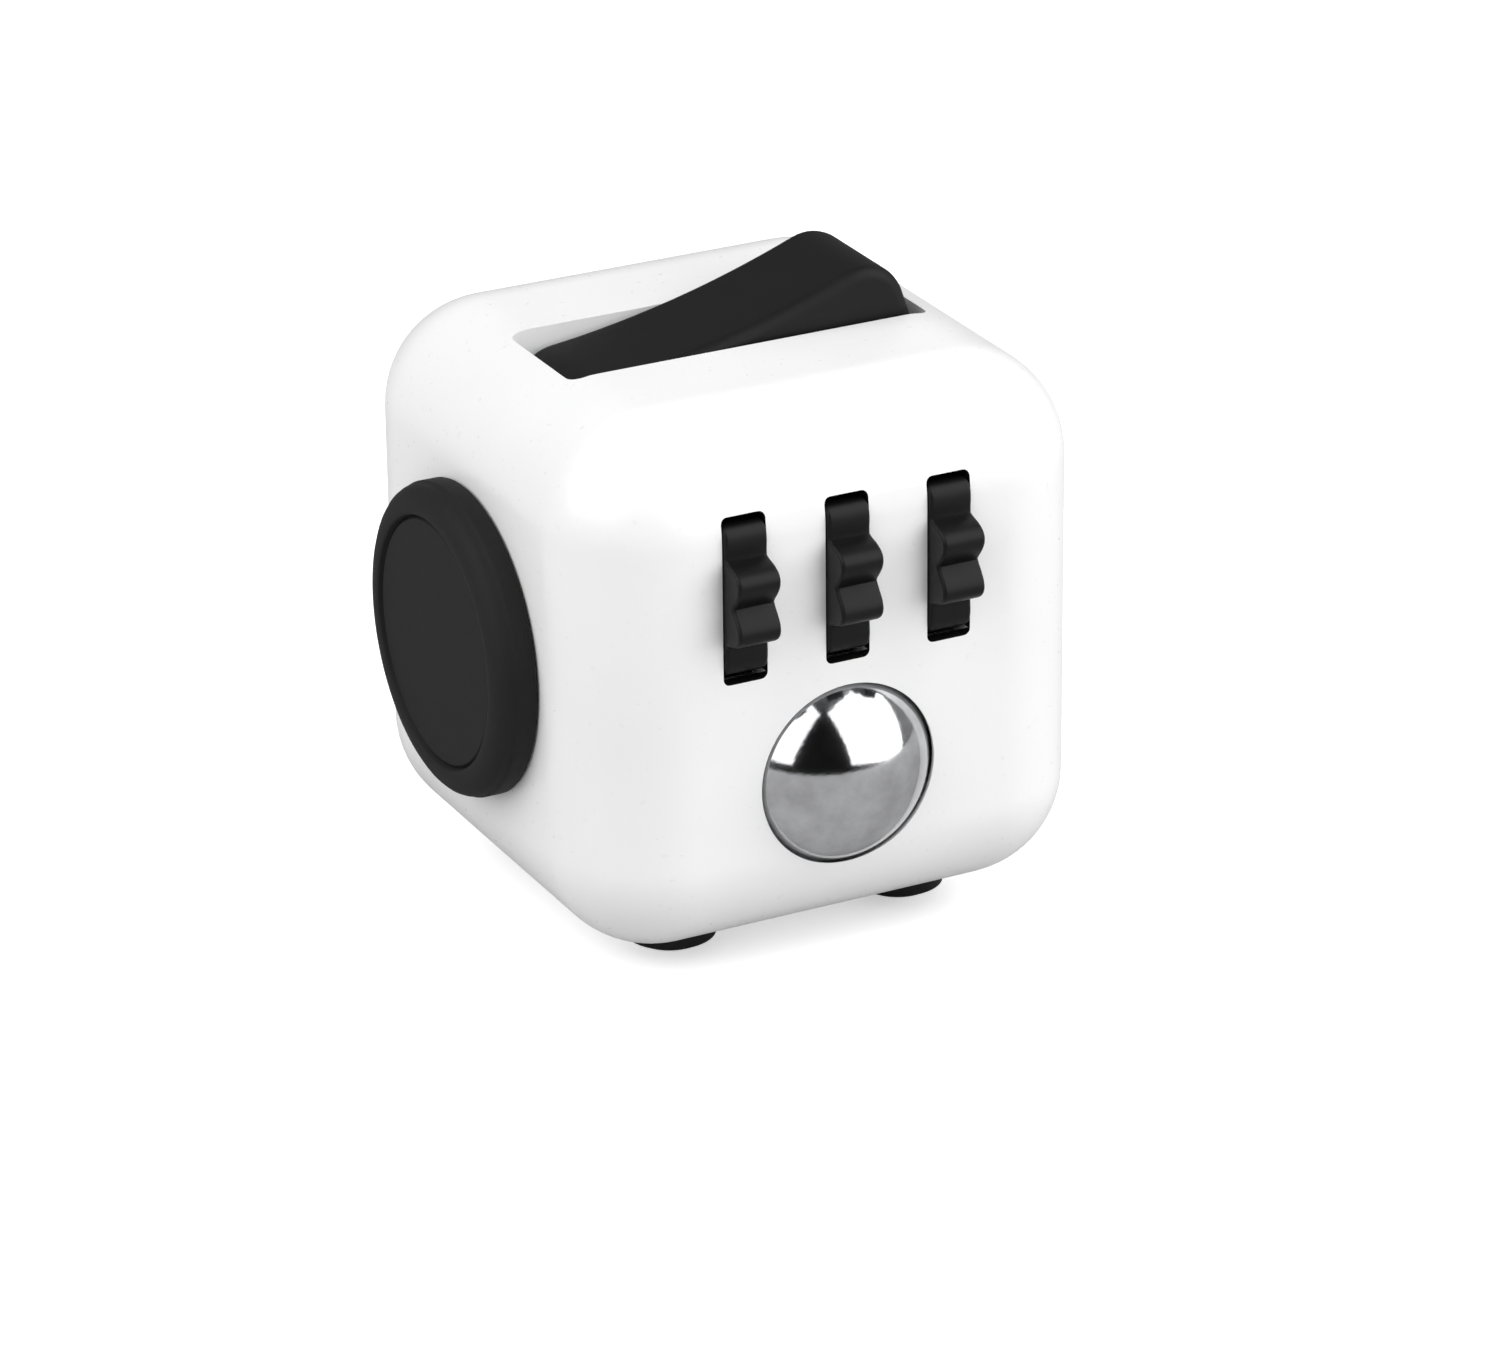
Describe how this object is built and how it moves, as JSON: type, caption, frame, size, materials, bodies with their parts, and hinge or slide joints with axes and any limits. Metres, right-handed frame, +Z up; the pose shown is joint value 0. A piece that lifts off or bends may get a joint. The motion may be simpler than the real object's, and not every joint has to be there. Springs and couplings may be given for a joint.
{
  "type": "fidget cube",
  "caption": "Pocket fidget cube with a flip rocker, lobed finger gears, a rolling ball, a glide disc, a spin dial, click buttons and a thumb rest.",
  "frame": {"origin": "centre of the bounding box's underside, on the plane that the click buttons' domes stand on", "axes": "+Z up towards the flip rocker, -Y out of the face with the gears and the ball, -X out of the glide disc, +X out of the spin dial, +Y out of the rear cover"},
  "size_m": [0.0372, 0.0358, 0.0384],
  "materials": {
    "white_abs": "moulded gloss",
    "rocker_black": "satin",
    "gear_black": "gloss",
    "disc_black": "fine matte",
    "button_black": "semi gloss",
    "ball_chrome": "mirror",
    "carrier_plastic": "moulded",
    "plate_laminate": "laminate",
    "bush_brass": "turned",
    "small_steel": "drawn"
  },
  "bodies": {
    "cube": {"main_shell": "white_abs", "rear_cover": "white_abs", "flip_axle": "small_steel", "flip_frame": "carrier_plastic", "gear_bracket": "carrier_plastic", "gear_axle": "small_steel", "click_leaf": "small_steel", "ball_housing": "carrier_plastic", "ball_spring": "small_steel", "glide_base": "carrier_plastic", "spin_bush": "bush_brass", "click_dome_1": "small_steel", "click_dome_2": "small_steel", "click_dome_3": "small_steel", "button_plate": "plate_laminate", "carrier_screws": "small_steel"},
    "rocker": {"flip_rocker": "rocker_black", "flip_plunger": "small_steel", "flip_spring": "small_steel"},
    "left_gear": {"gear_left": "gear_black"},
    "middle_gear": {"gear_middle": "gear_black"},
    "right_gear": {"gear_right": "gear_black"},
    "cup": {"ball_cup": "carrier_plastic"},
    "rolling_ball": {"ball": "ball_chrome"},
    "glide_slider": {"glide_carriage": "carrier_plastic"},
    "glide_disc": {"glide_cap": "disc_black", "glide_washer": "small_steel", "glide_screw": "small_steel", "glide_spring": "small_steel"},
    "dial": {"spin_dial": "disc_black", "spin_washer": "small_steel", "spin_clip": "small_steel"},
    "button_1": {"click_button_1": "button_black", "click_spring_1": "small_steel"},
    "button_2": {"click_button_2": "button_black", "click_spring_2": "small_steel"},
    "button_3": {"click_button_3": "button_black", "click_spring_3": "small_steel"},
    "button_4": {"click_button_4": "button_black", "click_spring_4": "small_steel"},
    "button_5": {"click_button_5": "button_black", "click_spring_5": "small_steel"}
  },
  "joints": [
    {"name": "flip_rock", "type": "hinge", "parent": "cube", "child": "rocker", "pos_m": [0.0004, 0.0014, 0.03095], "axis": [0, 1, 0], "range_deg": [0, 28]},
    {"name": "gear_left_spin", "type": "hinge", "parent": "cube", "child": "left_gear", "pos_m": [-0.00655, -0.0118, 0.02515], "axis": [1, 0, 0], "continuous": true},
    {"name": "gear_middle_spin", "type": "hinge", "parent": "cube", "child": "middle_gear", "pos_m": [0, -0.0118, 0.02515], "axis": [1, 0, 0], "continuous": true},
    {"name": "gear_right_spin", "type": "hinge", "parent": "cube", "child": "right_gear", "pos_m": [0.00655, -0.0118, 0.02515], "axis": [1, 0, 0], "continuous": true},
    {"name": "ball_press", "type": "slide", "parent": "cube", "child": "cup", "axis": [0, 1, 0], "range_m": [0, 0.0008], "stiffness_N_per_m": 500, "springref_m": -0.001},
    {"name": "ball_roll", "type": "hinge", "parent": "cup", "child": "rolling_ball", "pos_m": [0, -0.0115, 0.01295], "axis": [1, 0, 0], "continuous": true},
    {"name": "glide_y", "type": "slide", "parent": "cube", "child": "glide_slider", "axis": [0, 1, 0], "range_m": [-0.0015, 0.0015], "stiffness_N_per_m": 250},
    {"name": "glide_z", "type": "slide", "parent": "glide_slider", "child": "glide_disc", "axis": [0, 0, 1], "range_m": [-0.0015, 0.0015], "stiffness_N_per_m": 250},
    {"name": "dial_spin", "type": "hinge", "parent": "cube", "child": "dial", "pos_m": [0.0004, 0.0014, 0.0187], "axis": [1, 0, 0], "continuous": true},
    {"name": "click_1", "type": "slide", "parent": "cube", "child": "button_1", "axis": [0, 0, 1], "range_m": [0, 0.001], "stiffness_N_per_m": 600, "springref_m": -0.001, "deforming": ["click_spring_1"]},
    {"name": "click_2", "type": "slide", "parent": "cube", "child": "button_2", "axis": [0, 0, 1], "range_m": [0, 0.001], "stiffness_N_per_m": 600, "springref_m": -0.001, "deforming": ["click_spring_2"]},
    {"name": "click_3", "type": "slide", "parent": "cube", "child": "button_3", "axis": [0, 0, 1], "range_m": [0, 0.001], "stiffness_N_per_m": 600, "springref_m": -0.001, "deforming": ["click_spring_3"]},
    {"name": "click_4", "type": "slide", "parent": "cube", "child": "button_4", "axis": [0, 0, 1], "range_m": [0, 0.001], "stiffness_N_per_m": 600, "springref_m": -0.001, "deforming": ["click_spring_4"]},
    {"name": "click_5", "type": "slide", "parent": "cube", "child": "button_5", "axis": [0, 0, 1], "range_m": [0, 0.001], "stiffness_N_per_m": 600, "springref_m": -0.001, "deforming": ["click_spring_5"]}
  ]
}
